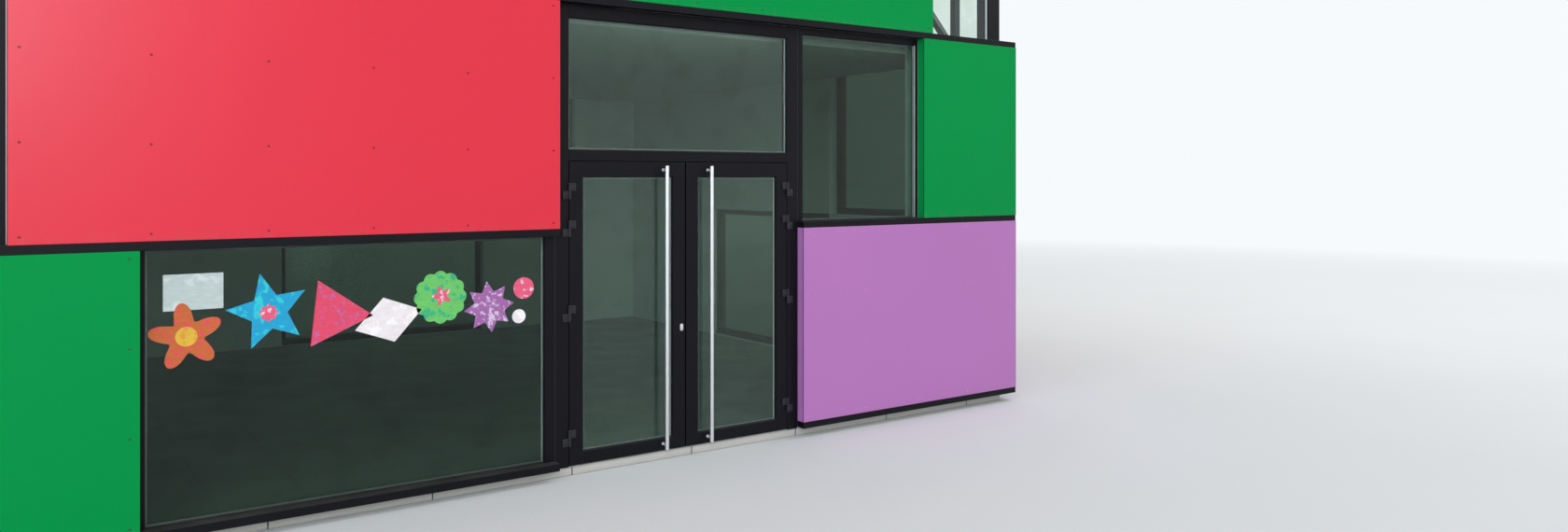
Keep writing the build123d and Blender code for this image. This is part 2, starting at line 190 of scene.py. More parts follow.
class Finish:
    """A material and its shader nodes."""

    def __init__(self, name):
        self.material = bpy.data.materials.new(name)
        self.material.use_nodes = True
        self.tree = self.material.node_tree
        self.tree.nodes.clear()
        self.output = self.tree.nodes.new("ShaderNodeOutputMaterial")

    def node(self, kind, settings=None, inputs=None, out=0):
        """Make a node: its settings first, then the values or links of its sockets."""
        made = self.tree.nodes.new(kind)
        for key, value in (settings or {}).items():
            setattr(made, key, value)
        for key, value in (inputs or {}).items():
            if isinstance(value, Value):
                self.tree.links.new(value.socket, made.inputs[key])
            else:
                made.inputs[key].default_value = value
        return Value(self, made.outputs[out])

    def math(self, operation, first, second=0.0):
        return self.node("ShaderNodeMath", {"operation": operation}, {0: first, 1: second})

    def place(self, scale):
        """Object coordinates, stretched along each axis."""
        spot = self.node("ShaderNodeTexCoord", out="Object")
        return self.node("ShaderNodeMapping", {}, {"Vector": spot, "Scale": scale})

    def noise(self, size, detail=3.0, stretch=(1, 1, 1)):
        """Cloudy noise from 0 to 1 whose blotches are about size metres across."""
        scale = tuple(1 / (size * part) for part in stretch)
        return self.node("ShaderNodeTexNoise", {}, {"Vector": self.place(scale), "Scale": 1.0,
                                                    "Detail": detail, "Roughness": 0.55}, "Fac")

    def axis(self, name, source="ShaderNodeTexCoord", out="Object"):
        """One of the Object coordinates, or one axis of another vector."""
        return self.node("ShaderNodeSeparateXYZ", {}, {0: self.node(source, out=out)}, name)

    def facing(self, name):
        """One axis of the surface's normal."""
        return self.axis(name, "ShaderNodeNewGeometry", "Normal")

    def spread(self, value, low, high, new_low=0.0, new_high=1.0):
        """Map a range onto another and hold it there."""
        return self.node("ShaderNodeMapRange", {"clamp": True}, {
            "Value": value, "From Min": low, "From Max": high, "To Min": new_low, "To Max": new_high})

    def joints_across(self, name, start, pitch, narrow, wide):
        """Thin lines across one axis, a pitch apart, from full at one distance to none at another."""
        along = self.math("PINGPONG", self.axis(name) - start, pitch / 2)
        return self.spread(along, narrow, wide, 1.0, 0.0)

    def mix(self, factor, first, second):
        """Mix two colours."""
        return self.node("ShaderNodeMix", {"data_type": "RGBA"}, {0: factor, 6: first, 7: second}, 2)

    def bump(self, height, depth, strength, **under):
        inputs = {"Height": height, "Distance": depth, "Strength": strength, **under}
        return self.node("ShaderNodeBump", {}, inputs)

    def show(self, shader):
        """Link a shader to the output, and give the material."""
        self.tree.links.new(shader.socket, self.output.inputs["Surface"])
        return self.material

    def surface(self, **sockets):
        """Make the Principled shader and show it."""
        inputs = {name.replace("_", " ").title().replace("Ior", "IOR"): value
                  for name, value in sockets.items()}
        return self.show(self.node("ShaderNodeBsdfPrincipled", {}, inputs))


def shade(colour, factor):
    """A colour made lighter or darker."""
    return tuple(min(1.0, part * factor) for part in colour[:3]) + (1,)


def laminate(name, colour, gloss):
    """Satin facing board: an even colour with faint clouding, rain streaks and a fine-grained skin."""
    finish = Finish(name)
    clouds = finish.noise(1.6, 2.0)
    speckle = finish.noise(0.0022, 2.0)
    streaks = finish.noise(0.05, 4.0, (1, 1, 26))
    tone = finish.mix(clouds, shade(colour, 0.95), shade(colour, 1.05))
    tone = finish.mix(finish.spread(speckle, 0.35, 0.7, 0.0, 0.12), tone, shade(colour, 0.75))
    height_in_row = finish.math("FRACT", (finish.axis("Z") - BASE_HEIGHT) / ROW_PITCH)
    near_band = finish.spread(height_in_row, 0.03, 0.075, 1.0, 0.0)
    grime = near_band * finish.spread(streaks, 0.45, 0.75, 0.0, 0.14)
    tone = finish.mix(grime, tone, (0.2, 0.18, 0.15, 1))
    skin = finish.bump(finish.noise(0.0011, 2.0), 0.00012, 0.55)
    wave = finish.bump(finish.noise(0.9, 0.0), 0.0009, 0.3, Normal=skin)
    rough = clouds * 0.08 + 0.27 + grime * 0.4
    return finish.surface(base_color=tone, roughness=rough, normal=wave, specular_ior_level=gloss)


def rivet_paint(name, colour):
    """Head of a rivet in one even colour, with painted shade darkening its sloped rim."""
    finish = Finish(name)
    wear = finish.noise(0.5)
    tone = finish.mix(wear, shade(colour, 0.9), shade(colour, 1.1))
    # Painted shade: the sloped rim of each head is coloured much darker.
    flat = finish.math("MAXIMUM", abs(finish.facing("Y")), abs(finish.facing("X")))
    tone = finish.mix(finish.spread(flat, 0.55, 0.95, 0.8, 0.0), tone, shade(colour, 0.25))
    return finish.surface(base_color=tone, roughness=finish.spread(wear, 0.3, 0.7, 0.2, 0.35),
                          specular_ior_level=0.4)


def powder_black(name, colour=(0.0045, 0.0042, 0.006, 1), dust=0.4):
    """Black powder coat: satin, finely textured, with a little dust on what faces up."""
    finish = Finish(name)
    grain = finish.noise(0.0016, 2.0)
    clouds = finish.noise(0.35)
    settled = finish.spread(finish.facing("Z"), 0.35, 0.95) * finish.spread(clouds, 0.3, 0.75, 0.15, dust)
    tone = finish.mix(clouds, shade(colour, 0.8), shade(colour, 1.35))
    tone = finish.mix(settled, tone, (0.12, 0.115, 0.105, 1))
    texture = finish.bump(grain, 0.00016, 0.6)
    rough = finish.spread(clouds, 0.25, 0.75, 0.36, 0.46)
    return finish.surface(base_color=tone, roughness=rough + settled * 0.35, normal=texture,
                          specular_ior_level=0.14)


def window_glass(name, tint, shade_of_sun, mirror=1.0):
    """Green-grey glass, faintly rolled, with a trace of dust. It lets the lamps' light through."""
    finish = Finish(name)
    ripple = finish.bump(finish.noise(0.9, 1.0), 0.0006, 0.16)
    smear = finish.noise(0.28, 4.0)
    tone = finish.mix(finish.spread(smear, 0.5, 0.85), tint, shade(tint, 0.85))
    shader = finish.node("ShaderNodeBsdfPrincipled", {}, {
        "Base Color": tone, "Roughness": 0.0, "Normal": ripple, "Transmission Weight": 1.0, "IOR": 1.5,
        "Specular Tint": shade((0.55, 0.6, 0.58), mirror),
    })
    clear = finish.node("ShaderNodeBsdfTransparent", {}, {"Color": shade_of_sun})
    shadow = finish.node("ShaderNodeLightPath", out="Is Shadow Ray")
    return finish.show(finish.node("ShaderNodeMixShader", {}, {0: shadow, 1: shader, 2: clear}))


def stainless(name):
    """Brushed stainless steel with its grain along the bar and a few fingermarks."""
    finish = Finish(name)
    grain = finish.noise(0.0009, 3.0, (1, 1, 60))
    marks = finish.noise(0.06)
    tone = finish.mix(grain, (0.73, 0.735, 0.735, 1), (0.81, 0.81, 0.805, 1))
    rough = finish.spread(grain, 0.3, 0.7, 0.26, 0.33) + finish.spread(marks, 0.6, 0.8, 0.0, 0.06)
    lines = finish.bump(grain, 0.00003, 0.3)
    return finish.surface(base_color=tone, roughness=rough, metallic=0.92, normal=lines)


def plaster(name):
    """White painted plaster, coloured grey as painted shade of the dim rooms: nearly even, with roller
    stipple and scuffs near the floors.
    """
    finish = Finish(name)
    clouds = finish.noise(0.9)
    scuffs = finish.noise(0.12, 5.0)
    # Painted shade: the white paint is coloured grey.
    tone = finish.mix(clouds, (0.6, 0.61, 0.58, 1), (0.68, 0.685, 0.655, 1))
    low = finish.spread(finish.axis("Z"), 0.1, 0.75, 1.0, 0.0)
    tone = finish.mix(low * finish.spread(scuffs, 0.5, 0.7, 0.0, 0.35), tone, (0.42, 0.4, 0.37, 1))
    stipple = finish.bump(finish.noise(0.004, 2.0), 0.0004, 0.35)
    return finish.surface(base_color=tone, roughness=0.72, normal=stipple)


KERB_LENGTH = 1.134
KERB_START = {"X": 4.124, "Y": -4.13}


def concrete(name):
    """Pale cast concrete kerbs: sand grain, blow holes, darker towards the bottom, a joint at every kerb's
    end.
    """
    finish = Finish(name)
    clouds = finish.noise(0.3, 4.0)
    sand = finish.noise(0.003)
    holes = finish.node("ShaderNodeTexVoronoi", {}, {"Vector": finish.place((55, 55, 55)), "Scale": 1.0})
    tone = finish.mix(clouds, (0.5, 0.485, 0.44, 1), (0.68, 0.665, 0.62, 1))
    tone = finish.mix(finish.spread(sand, 0.3, 0.75, 0.0, 0.35), tone, (0.36, 0.35, 0.32, 1))
    darker_low_down = finish.spread(finish.axis("Z"), 0.0, 0.05, 1.0, 0.0) * finish.spread(clouds, 0.3, 0.7, 0.2, 0.6)
    tone = finish.mix(darker_low_down, tone, (0.3, 0.29, 0.25, 1))
    joints = finish.math("MAXIMUM", *[
        finish.joints_across(along, start, KERB_LENGTH, 0.003, 0.007) * (1 - abs(finish.facing(along)))
        for along, start in KERB_START.items()])
    tone = finish.mix(joints, tone, (0.07, 0.068, 0.06, 1))
    pits = finish.spread(holes, 0.08, 0.2)
    relief = finish.bump(pits - joints * 3 + sand * 0.3, 0.0012, 0.7)
    return finish.surface(base_color=tone, roughness=0.85, normal=relief)


TILE = 0.6


def hall_tiles(name):
    """Grey floor tiles with dark joints, a little smoother in some patches than in others."""
    finish = Finish(name)
    clouds = finish.noise(0.5, 4.0)
    grain = finish.noise(0.004)
    joint = finish.math("MAXIMUM", *[finish.joints_across(along, 0, TILE, 0.0015, 0.003) for along in "XY"])
    tone = finish.mix(clouds, (0.19, 0.2, 0.19, 1), (0.26, 0.27, 0.255, 1))
    tone = finish.mix(finish.spread(grain, 0.4, 0.7, 0.0, 0.3), tone, (0.13, 0.135, 0.13, 1))
    tone = finish.mix(joint * 0.75, tone, (0.1, 0.1, 0.095, 1))
    relief = finish.bump(grain * 0.1 - joint, 0.0008, 0.6)
    rough = finish.spread(clouds, 0.3, 0.7, 0.3, 0.5)
    return finish.surface(base_color=tone, roughness=rough, normal=relief)


def slab_faces(name):
    """A floor slab: grey sheet flooring on top, and a pale painted ceiling below that also covers its edge.
    """
    finish = Finish(name)
    clouds = finish.noise(0.7, 4.0)
    flecks = finish.noise(0.006, 2.0)
    floor = finish.mix(clouds, (0.24, 0.25, 0.25, 1), (0.31, 0.32, 0.315, 1))
    floor = finish.mix(finish.spread(flecks, 0.6, 0.7, 0.0, 0.5), floor, (0.45, 0.46, 0.45, 1))
    # The ceiling is white paint, coloured grey as painted shade of the dim rooms.
    ceiling = finish.mix(clouds, (0.58, 0.59, 0.56, 1), (0.66, 0.665, 0.64, 1))
    tone = finish.mix(finish.facing("Z") > 0, ceiling, floor)
    relief = finish.bump(flecks, 0.0003, 0.4)
    return finish.surface(base_color=tone, roughness=finish.spread(clouds, 0.3, 0.7, 0.5, 0.7), normal=relief)


def roof_sheet(name):
    """Dark roofing sheet: chalky, each lane a little different, with dust in the hollows and fine grit."""
    finish = Finish(name)
    clouds = finish.noise(1.4, 5.0)
    lanes = finish.noise(1.05, 1.0, (1, 14, 1))
    grit = finish.noise(0.004)
    tone = finish.mix(finish.spread(lanes, 0.3, 0.7), (0.062, 0.064, 0.068, 1), (0.1, 0.101, 0.1, 1))
    tone = finish.mix(finish.spread(clouds, 0.45, 0.75, 0.0, 0.7), tone, (0.17, 0.166, 0.155, 1))
    tone = finish.mix(finish.spread(grit, 0.5, 0.75, 0.0, 0.35), tone, (0.22, 0.22, 0.21, 1))
    relief = finish.bump(grit + clouds * 4, 0.0008, 0.6)
    return finish.surface(base_color=tone, roughness=0.78, normal=relief)


def rubber_seal(name):
    """Black rubber seal, matt, with faint chalking."""
    finish = Finish(name)
    chalk = finish.noise(0.05, 4.0)
    chalky = finish.spread(chalk, 0.45, 0.8, 0.0, 0.6)
    tone = finish.mix(chalky, (0.008, 0.008, 0.009, 1), (0.035, 0.035, 0.036, 1))
    relief = finish.bump(finish.noise(0.002, 2.0), 0.0001, 0.5)
    return finish.surface(base_color=tone, roughness=0.6, normal=relief)


def worn_aluminium(name):
    """Ribbed threshold metal: streaked, with duller patches of dark dirt."""
    finish = Finish(name)
    streaks = finish.noise(0.004, 3.0, (30, 1, 1))
    dirt = finish.noise(0.08, 5.0)
    tone = finish.mix(streaks, (0.34, 0.34, 0.345, 1), (0.52, 0.52, 0.525, 1))
    tone = finish.mix(finish.spread(dirt, 0.45, 0.75, 0.0, 0.6), tone, (0.12, 0.115, 0.105, 1))
    rough = finish.spread(dirt, 0.35, 0.75, 0.32, 0.6)
    return finish.surface(base_color=tone, roughness=rough, metallic=finish.spread(dirt, 0.5, 0.8, 1.0, 0.35),
                          normal=finish.bump(streaks, 0.0001, 0.5))


def satin_metal(name, colour):
    """Plain satin aluminium, with faint drawing lines and slight staining."""
    finish = Finish(name)
    lines = finish.noise(0.003, 3.0, (1, 1, 30))
    stains = finish.noise(0.2, 4.0)
    tone = finish.mix(lines, shade(colour, 0.9), shade(colour, 1.1))
    tone = finish.mix(finish.spread(stains, 0.5, 0.75, 0.0, 0.4), tone, shade(colour, 0.6))
    rough = finish.spread(stains, 0.3, 0.7, 0.38, 0.55)
    return finish.surface(base_color=tone, roughness=rough, metallic=0.4,
                          normal=finish.bump(lines, 0.00005, 0.5))


def painted_paper(name, ground, dabs, dab_size):
    """Hand-painted paper: a brushed ground colour, with dabs of a second colour and soft creases."""
    finish = Finish(name)
    brush = finish.noise(0.02, 4.0, (3, 1, 1))
    spots = finish.noise(dab_size, 2.0)
    tone = finish.mix(brush, shade(ground, 0.78), shade(ground, 1.12))
    tone = finish.mix(finish.spread(spots, 0.56, 0.62), tone, shade(dabs, 1))
    creases = finish.bump(finish.noise(0.05, 2.0), 0.0012, 0.5)
    return finish.surface(base_color=tone, roughness=0.75, normal=creases)


def floor_paint(name):
    """Plain pale floor of the studio, which fades into the backdrop far from the building."""
    finish = Finish(name)
    clouds = finish.noise(2.5)
    tone = finish.mix(clouds, (0.66, 0.66, 0.65, 1), (0.7, 0.7, 0.69, 1))
    shader = finish.node("ShaderNodeBsdfPrincipled", {}, {"Base Color": tone, "Roughness": 0.8})
    glow = finish.node("ShaderNodeEmission", {}, {"Color": BACKDROP, "Strength": BACKDROP_STRENGTH})
    away = finish.node("ShaderNodeVectorMath", {"operation": "LENGTH"},
                       {0: finish.node("ShaderNodeTexCoord", out="Object")}, "Value")
    shown = sum(finish.node("ShaderNodeLightPath", out=f"Is {ray} Ray")
                for ray in ("Camera", "Glossy", "Transmission"))
    faded = finish.spread(away, 11, 34) * finish.spread(shown, 0, 1)
    return finish.show(finish.node("ShaderNodeMixShader", {}, {0: faded, 1: shader, 2: glow}))


RED = (0.7, 0.0125, 0.037, 1)
GREEN = (0.0005, 0.27, 0.058, 1)
PURPLE = (0.46, 0.178, 0.455, 1)
finishes = {
    "red_laminate": laminate("red_laminate", RED, 0.5),
    "green_laminate": laminate("green_laminate", GREEN, 0.06),
    "purple_laminate": laminate("purple_laminate", PURPLE, 0.2),
    "black_metal": powder_black("black_powder_coat"),
    "dark_steel": powder_black("dark_painted_steel", (0.02, 0.022, 0.024, 1), 0.3),
    # The window glass is tinted green-grey, and darkened further as painted shade of the rooms behind it.
    "window_glass": window_glass("green_grey_glass_darkened_as_shade", (0.42, 0.55, 0.48, 1), (0.5, 0.57, 0.53, 1), 0.7),
    "stainless_steel": stainless("brushed_stainless_steel"),
    "white_plaster": plaster("white_plaster"),
    "concrete": slab_faces("floor_slab"),
    "floor_finish": hall_tiles("hall_tiles"),
    "roof_membrane": roof_sheet("roof_sheet"),
    "threshold_metal": worn_aluminium("worn_threshold"),
}
seal_rubber = rubber_seal("black_seal")
# Spacer aluminium in two copies: painted dark as shade on the rings, and lighter as a painted highlight on
# the uprights and edge strips.
spacer_metal_painted_shade = satin_metal("spacer_aluminium_painted_shade", (0.17, 0.18, 0.175))
upright_metal_painted_highlight = satin_metal("spacer_upright_aluminium_painted_highlight", (0.5, 0.51, 0.5))
bright_metal = satin_metal("bright_satin_metal", (0.8, 0.8, 0.8))
# Rivet heads take their board's colour, painted darker as shade on red and green and lighter as a painted
# highlight on purple.
rivet_shade_and_highlight_paints = {
    "red": rivet_paint("red_rivets_painted_shade", shade(RED, 0.45)),
    "green": rivet_paint("green_rivets_painted_shade", shade(GREEN, 0.5)),
    "purple": rivet_paint("purple_rivets_painted_highlight", shade(PURPLE, 1.6)),
}
entrance_glass = window_glass("entrance_glass", (0.68, 0.87, 0.77, 1), (0.6, 0.67, 0.63, 1), 1.3)
hinge_grey = powder_black("grey_hinge_coat", (0.026, 0.025, 0.03, 1), 0.3)
own_finishes = {
    "concrete_base": concrete("pale_kerb_concrete"),
    "corner_window_glass": window_glass("clear_glass", (0.86, 0.93, 0.89, 1), (0.8, 0.86, 0.83, 1)),
    # The side windows' glass is painted nearly black as shade of the unlit rooms behind it.
    "side_window_glass": window_glass("side_glass_painted_dark_as_shade", (0.05, 0.08, 0.062, 1), (0.4, 0.48, 0.44, 1)),
    "transom_glass": entrance_glass,
    "left_door_glass": entrance_glass,
    "right_door_glass": entrance_glass,
}

slot_of = {row["node"]: row["material_slot"] for row in frame["record"]["subparts"]}
for node, slot in slot_of.items():
    mesh = nodes[node].data
    mesh.materials.clear()
    mesh.materials.append(own_finishes.get(node, finishes[slot]))


# Studio floor

FLOOR_REACH = 90
floor_mesh = bmesh.new()
bmesh.ops.create_grid(floor_mesh, x_segments=1, y_segments=1, size=FLOOR_REACH)
floor_data = bpy.data.meshes.new("floor")
floor_mesh.to_mesh(floor_data)
floor_mesh.free()
floor = bpy.data.objects.new("floor", floor_data)
scene.collection.objects.link(floor)
floor_data.materials.append(floor_paint("pale_floor"))


# Shaping helpers

UP = (0, 0, 1)
INWARDS = (0, 1, 0)
OUTWARDS = (0, -1, 0)
STAND = Matrix.Rotation(math.pi / 2, 4, "X")
SMOOTH_ANGLE = math.radians(35)
SHARP_ANGLE = math.radians(30)
WELD = 1e-5
FINE_ROUNDING = 0.0008
# How far a fitted piece sinks into what carries it
SUNK = 0.001


def finish_piece(name, shape, slot, body="building", material=None, smooth=False):
    """Turn a shaped bmesh into a piece that rides on a body, in its slot's finish or one of its own."""
    data = bpy.data.meshes.new(name)
    shape.to_mesh(data)
    shape.free()
    data.materials.append(material or finishes[slot])
    if smooth:
        data.shade_smooth()
        data.set_sharp_from_angle(angle=SMOOTH_ANGLE)
    piece = bpy.data.objects.new(name, data)
    scene.collection.objects.link(piece)
    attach(piece, body)
    return piece


def pour(part, shape, place):
    """Move a finished part to its place and add it to a larger shape."""
    bmesh.ops.transform(part, matrix=place, verts=part.verts[:])
    data = bpy.data.meshes.new("part")
    part.to_mesh(data)
    part.free()
    shape.from_mesh(data)
    bpy.data.meshes.remove(data)


def round_edges(shape, edges, rounding, segments=1):
    bmesh.ops.bevel(shape, geom=edges, offset=rounding, segments=segments, profile=0.5, affect="EDGES",
                    material=-1)


def add_block(shape, low, high, rounding=0.0, place=Matrix(), segments=1):
    """Add a box between two corners, with rounded edges."""
    low, high = Vector(low), Vector(high)
    part = bmesh.new()
    spot = Matrix.Translation((low + high) / 2) @ Matrix.Diagonal((*(high - low), 1))
    bmesh.ops.create_cube(part, size=1, matrix=spot)
    if rounding:
        round_edges(part, part.edges[:], rounding, segments)
    pour(part, shape, place)


def add_rod(shape, centre, axis, radius, length, sides, rounding, inner=0.0):
    """Add a round rod about a centre, with chamfered ends, or a tube if it has an inner radius."""
    half = length / 2
    outline = [(inner, -half), (radius - rounding, -half), (radius, -half + rounding),
               (radius, half - rounding), (radius - rounding, half), (inner, half)]
    part = bmesh.new()
    verts = [part.verts.new((across, 0, up)) for across, up in outline]
    edges = [part.edges.new(pair) for pair in zip(verts, verts[1:])]
    if inner:
        edges.append(part.edges.new((verts[-1], verts[0])))
    bmesh.ops.spin(part, geom=verts + edges, axis=UP, angle=2 * math.pi, steps=sides, use_merge=True)
    bmesh.ops.remove_doubles(part, verts=part.verts[:], dist=1e-6)
    bmesh.ops.recalc_face_normals(part, faces=part.faces[:])
    turn = Vector(UP).rotation_difference(Vector(axis)).to_matrix().to_4x4()
    pour(part, shape, Matrix.Translation(centre) @ turn)


def pull(shape, move, **options):
    """Give a flat shape thickness along a move."""
    grown = bmesh.ops.extrude_face_region(shape, geom=shape.faces[:], **options)
    moved = [item for item in grown["geom"] if isinstance(item, bmesh.types.BMVert)]
    bmesh.ops.translate(shape, verts=moved, vec=move)


def add_ring(shape, left, right, low, high, width, near, far, rounding, place):
    """Add a mitred rectangular ring in a wall's axes: its outer edges, its width and its two depths."""
    part = bmesh.new()
    spot = (Matrix.Translation(((left + right) / 2, near, (low + high) / 2))
            @ STAND @ Matrix.Diagonal(((right - left) / 2, (high - low) / 2, 1, 1)))
    bmesh.ops.create_grid(part, x_segments=1, y_segments=1, size=1, matrix=spot)
    middle = part.faces[:]
    bmesh.ops.inset_region(part, faces=middle, thickness=width, use_even_offset=True, use_boundary=True)
    bmesh.ops.delete(part, geom=middle, context="FACES_ONLY")
    front = set(part.verts)
    pull(part, (0, far - near, 0), use_keep_orig=True)
    bmesh.ops.recalc_face_normals(part, faces=part.faces[:])
    if rounding:
        rims = [edge for edge in part.edges if edge.verts[0] in front and edge.verts[1] in front
                and edge.calc_face_angle(0) > 0.5]
        round_edges(part, rims, rounding)
    pour(part, shape, place)


def grow_within(start, allowed=None):
    """Gather every corner that edges join to the first ones, among those allowed."""
    reached = set(start)
    rim = set(start)
    while rim:
        rim = {edge.other_vert(vert) for vert in rim for edge in vert.link_edges} - reached
        if allowed is not None:
            rim &= allowed
        reached |= rim
    return reached


def solids(node):
    """List the separate solids of a CAD node, each as the set of its corners."""
    shape = bmesh.new()
    shape.from_mesh(nodes[node].data)
    bmesh.ops.remove_doubles(shape, verts=shape.verts, dist=WELD)
    left = set(shape.verts)
    found = []
    while left:
        reached = grow_within({left.pop()})
        left -= reached
        found.append([vert.co.copy() for vert in reached])
    shape.free()
    return sorted(found, key=lambda corners: tuple(round(sum(c[i] for c in corners) / len(corners), 4)
                                                   for i in range(3)))


def span(corners):
    """The lowest and highest corner of the box round a solid."""
    return [Vector([pick(corner[i] for corner in corners) for i in range(3)]) for pick in (min, max)]


def front_span(corners):
    """The same box in the front wall's axes."""
    return span([WALLS["front"].inverted() @ corner for corner in corners])


def on_wall(corners):
    """Find the wall whose thickness holds a solid, and give the corners in that wall's axes."""
    for name, place in WALLS.items():
        back = place.inverted()
        local = [back @ corner for corner in corners]
        low, high = span(local)
        if low.y > -0.02 and high.y < WALL_DEPTH and high.y - low.y < min(high.x - low.x, high.z - low.z):
            return name, local
    return None, corners


GROOVE_WIDTH = 0.004
GROOVE_DEPTH = 0.002


def groove(shape, along, places):
    """Cut a fine V groove round a long piece at each place, for the butt joint of two lengths."""
    number = "xyz".index(along)
    normal = Vector([float(other == number) for other in range(3)])
    for spot in places:
        for offset in (-GROOVE_WIDTH / 2, GROOVE_WIDTH / 2, 0):
            everything = shape.verts[:] + shape.edges[:] + shape.faces[:]
            bmesh.ops.bisect_plane(shape, geom=everything, dist=1e-6, plane_co=normal * (spot + offset),
                                   plane_no=normal)
        middle = {vert for vert in shape.verts if abs(vert.co[number] - spot) < WELD}
        while middle:
            ring = grow_within({middle.pop()}, middle)
            middle -= ring
            low, high = span([vert.co for vert in ring])
            for vert in ring:
                for other in {0, 1, 2} - {number}:
                    inwards = 1 if vert.co[other] < (low[other] + high[other]) / 2 else -1
                    vert.co[other] += inwards * GROOVE_DEPTH


GROOVES = {
    "storey_band": {"x": (-2.95, 0.0, 2.95), "y": (-1.4, 1.4)},
    "upper_band": {"x": (-2.95, 0.0, 2.95), "y": (-1.4, 1.4)},
    "roof_edge_cap": {"x": (-3.9, -1.3, 1.3, 3.9), "y": (-2.1, 0.0, 2.1)},
}


def soften(node, rounding):
    """Stand in for a sharp-edged CAD node with a copy whose edges are slightly rounded."""
    shape = bmesh.new()
    shape.from_mesh(nodes[node].data)
    bmesh.ops.remove_doubles(shape, verts=shape.verts, dist=WELD)
    bmesh.ops.dissolve_limit(shape, angle_limit=math.radians(1), verts=shape.verts, edges=shape.edges)
    sharp = [edge for edge in shape.edges if edge.calc_face_angle(0) > SHARP_ANGLE]
    round_edges(shape, sharp, rounding)
    for along, places in GROOVES.get(node, {}).items():
        groove(shape, along, places)
    piece = finish_piece(node + "_dressed", shape, slot_of[node], nodes[node]["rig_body"],
                         nodes[node].data.materials[0])
    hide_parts(node)


SOFT_EDGES = {
    0.0015: ("base_flashing", "lower_band", "storey_band", "upper_band", "front_window_frames",
             "side_window_frames", "corner_window_frame"),
    0.002: ("front_red_boards", "front_green_boards", "front_purple_boards", "side_red_boards",
            "side_green_boards", "side_purple_boards", "door_frame", "left_door_leaf", "right_door_leaf"),
    0.003: ("roof_edge_cap", "corner_post"),
    0.004: ("steel_column",),
    0.006: ("concrete_base",),
}
for rounding, softened in SOFT_EDGES.items():
    for node in softened:
        soften(node, rounding)


# Rivets of the facing boards, and the dark joint behind each board's edge at an opening, a strip standing in
# for the shadow in the gap there

RIVET_EDGE = 0.057
RIVET_TOP_EDGE = 0.048
RIVET_ACROSS = 0.7
RIVET_UP = 0.58
RIVET_RADIUS = 0.0085
RIVET_HEIGHT = 0.0036
BOARD_THICKNESS = 0.01
RETURN_DEPTH = 0.1
JOINT_WIDTH = 0.008
JOINT_PROUD = 0.0006
JOINT_START = BOARD_THICKNESS + 0.0005


def spots_between(low, high, spacing):
    """Even places from one end to the other, about a spacing apart."""
    steps = max(1, round((high - low) / spacing))
    return [low + (high - low) * step / steps for step in range(steps + 1)]


def rivet_boards(side, colour):
    """Fix the boards of one colour with domed rivets, and paint the shadow in the joints of their return
    strips as dark strips.
    """
    rivets = bmesh.new()
    joints = bmesh.new()
    for corners in solids(f"{side}_{colour}_boards"):
        wall, local = on_wall(corners)
        low, high = span(local)
        place = WALLS[wall]
        for across in spots_between(low.x + RIVET_EDGE, high.x - RIVET_EDGE, RIVET_ACROSS):
            for up in spots_between(low.z + RIVET_TOP_EDGE, high.z - RIVET_TOP_EDGE, RIVET_UP):
                spot = Matrix.Translation((across, low.y - RIVET_HEIGHT / 2, up))
                bmesh.ops.create_cone(rivets, cap_ends=True, segments=12, radius1=RIVET_RADIUS,
                                      radius2=RIVET_RADIUS * 0.5, depth=RIVET_HEIGHT,
                                      matrix=place @ spot @ STAND)
        for edge, outwards in ((low.x, -1), (high.x, 1)):
            # Painted shadow: a dark strip in the joint gap behind the board's edge.
            if any(c.y > RETURN_DEPTH * 0.9 and abs(c.x - edge) < 0.02 for c in local):
                left, right = sorted((edge + outwards * JOINT_PROUD, edge - outwards * JOINT_WIDTH))
                add_block(joints, (left, JOINT_START, low.z), (right, JOINT_START + JOINT_WIDTH, high.z),
                          place=place)
    finish_piece(f"{side}_{colour}_rivets", rivets, f"{colour}_laminate", material=rivet_shade_and_highlight_paints[colour])
    if joints.verts:
        finish_piece(f"{side}_{colour}_return_joints", joints, "black_metal", material=seal_rubber)


for side in ("front", "side"):
    for colour in ("red", "green", "purple"):
        rivet_boards(side, colour)


# Glazing: beads and seals round every pane, and the aluminium spacers that show inside its edges, painted
# dark as shade, with a painted highlight on each right-hand upright

BEAD_WIDTH = 0.005
BEAD_START = 0.006
SEAL_WIDTH = 0.003
SEAL_THICKNESS = 0.004
BEAD_ROUNDING = 0.0015
FRAME_DEPTH = 0.075
LEAF_THICKNESS = 0.07
FRAME_NEAR = RETURN_DEPTH
SPACER_START = 0.006
SPACER_WIDTH = 0.014
SPACER_INSET = 0.006
UPRIGHT_MARGIN = 0.001
UPRIGHT_PROUD = 0.0006


